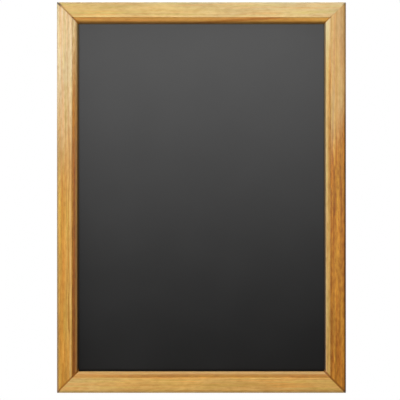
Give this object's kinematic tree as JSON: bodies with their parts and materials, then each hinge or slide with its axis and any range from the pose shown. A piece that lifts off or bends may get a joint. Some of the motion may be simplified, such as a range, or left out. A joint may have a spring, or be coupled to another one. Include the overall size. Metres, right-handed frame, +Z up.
{
  "type": "wall chalkboard",
  "caption": "Upright wall chalkboard: satin black writing sheet in a mitred honey-coloured wooden moulding, hung by ring hangers on its back.",
  "frame": {"origin": "on the wall plane, midway between the points where the two wall hooks bear in the hanger rings, with the rings turned up", "axes": "+X to the right as seen from the front, +Y towards the wall, +Z up; the board faces -Y"},
  "size_m": [0.494, 0.0231, 0.668],
  "materials": {
    "frame_wood": "honey-stained softwood under satin varnish",
    "writing_surface": "satin near-black chalkboard laminate",
    "core_fibreboard": "raw medium-density fibreboard",
    "backing_paper": "matt brown kraft balancing paper",
    "nail_steel": "bright tempered steel",
    "point_steel": "dull spring steel",
    "hanger_steel": "zinc-plated steel",
    "bumper_rubber": "matt black rubber"
  },
  "bodies": {
    "board": {"backing_sheet": "backing_paper", "bottom_rail": "frame_wood", "core_board": "core_fibreboard", "left_hanger_screw": "hanger_steel", "left_hanger_strap": "hanger_steel", "left_stile": "frame_wood", "left_wall_bumper": "bumper_rubber", "mitre_nail_bottom_left_inner": "nail_steel", "mitre_nail_bottom_left_outer": "nail_steel", "mitre_nail_bottom_right_inner": "nail_steel", "mitre_nail_bottom_right_outer": "nail_steel", "mitre_nail_top_left_inner": "nail_steel", "mitre_nail_top_left_outer": "nail_steel", "mitre_nail_top_right_inner": "nail_steel", "mitre_nail_top_right_outer": "nail_steel", "retaining_point_bottom_1": "point_steel", "retaining_point_bottom_2": "point_steel", "retaining_point_left_1": "point_steel", "retaining_point_left_2": "point_steel", "retaining_point_left_3": "point_steel", "retaining_point_right_1": "point_steel", "retaining_point_right_2": "point_steel", "retaining_point_right_3": "point_steel", "retaining_point_top_1": "point_steel", "retaining_point_top_2": "point_steel", "right_hanger_screw": "hanger_steel", "right_hanger_strap": "hanger_steel", "right_stile": "frame_wood", "right_wall_bumper": "bumper_rubber", "top_rail": "frame_wood", "writing_sheet": "writing_surface"},
    "left_ring": {"left_hanger_ring": "hanger_steel"},
    "right_ring": {"right_hanger_ring": "hanger_steel"}
  },
  "joints": [
    {"name": "left_ring_swing", "type": "hinge", "parent": "board", "child": "left_ring", "pos_m": [-0.2325, -0.00265, -0.0185], "axis": [1, 0, 0], "range_deg": [-2, 182]},
    {"name": "right_ring_swing", "type": "hinge", "parent": "board", "child": "right_ring", "pos_m": [0.2325, -0.00265, -0.0185], "axis": [1, 0, 0], "range_deg": [-2, 182]}
  ]
}
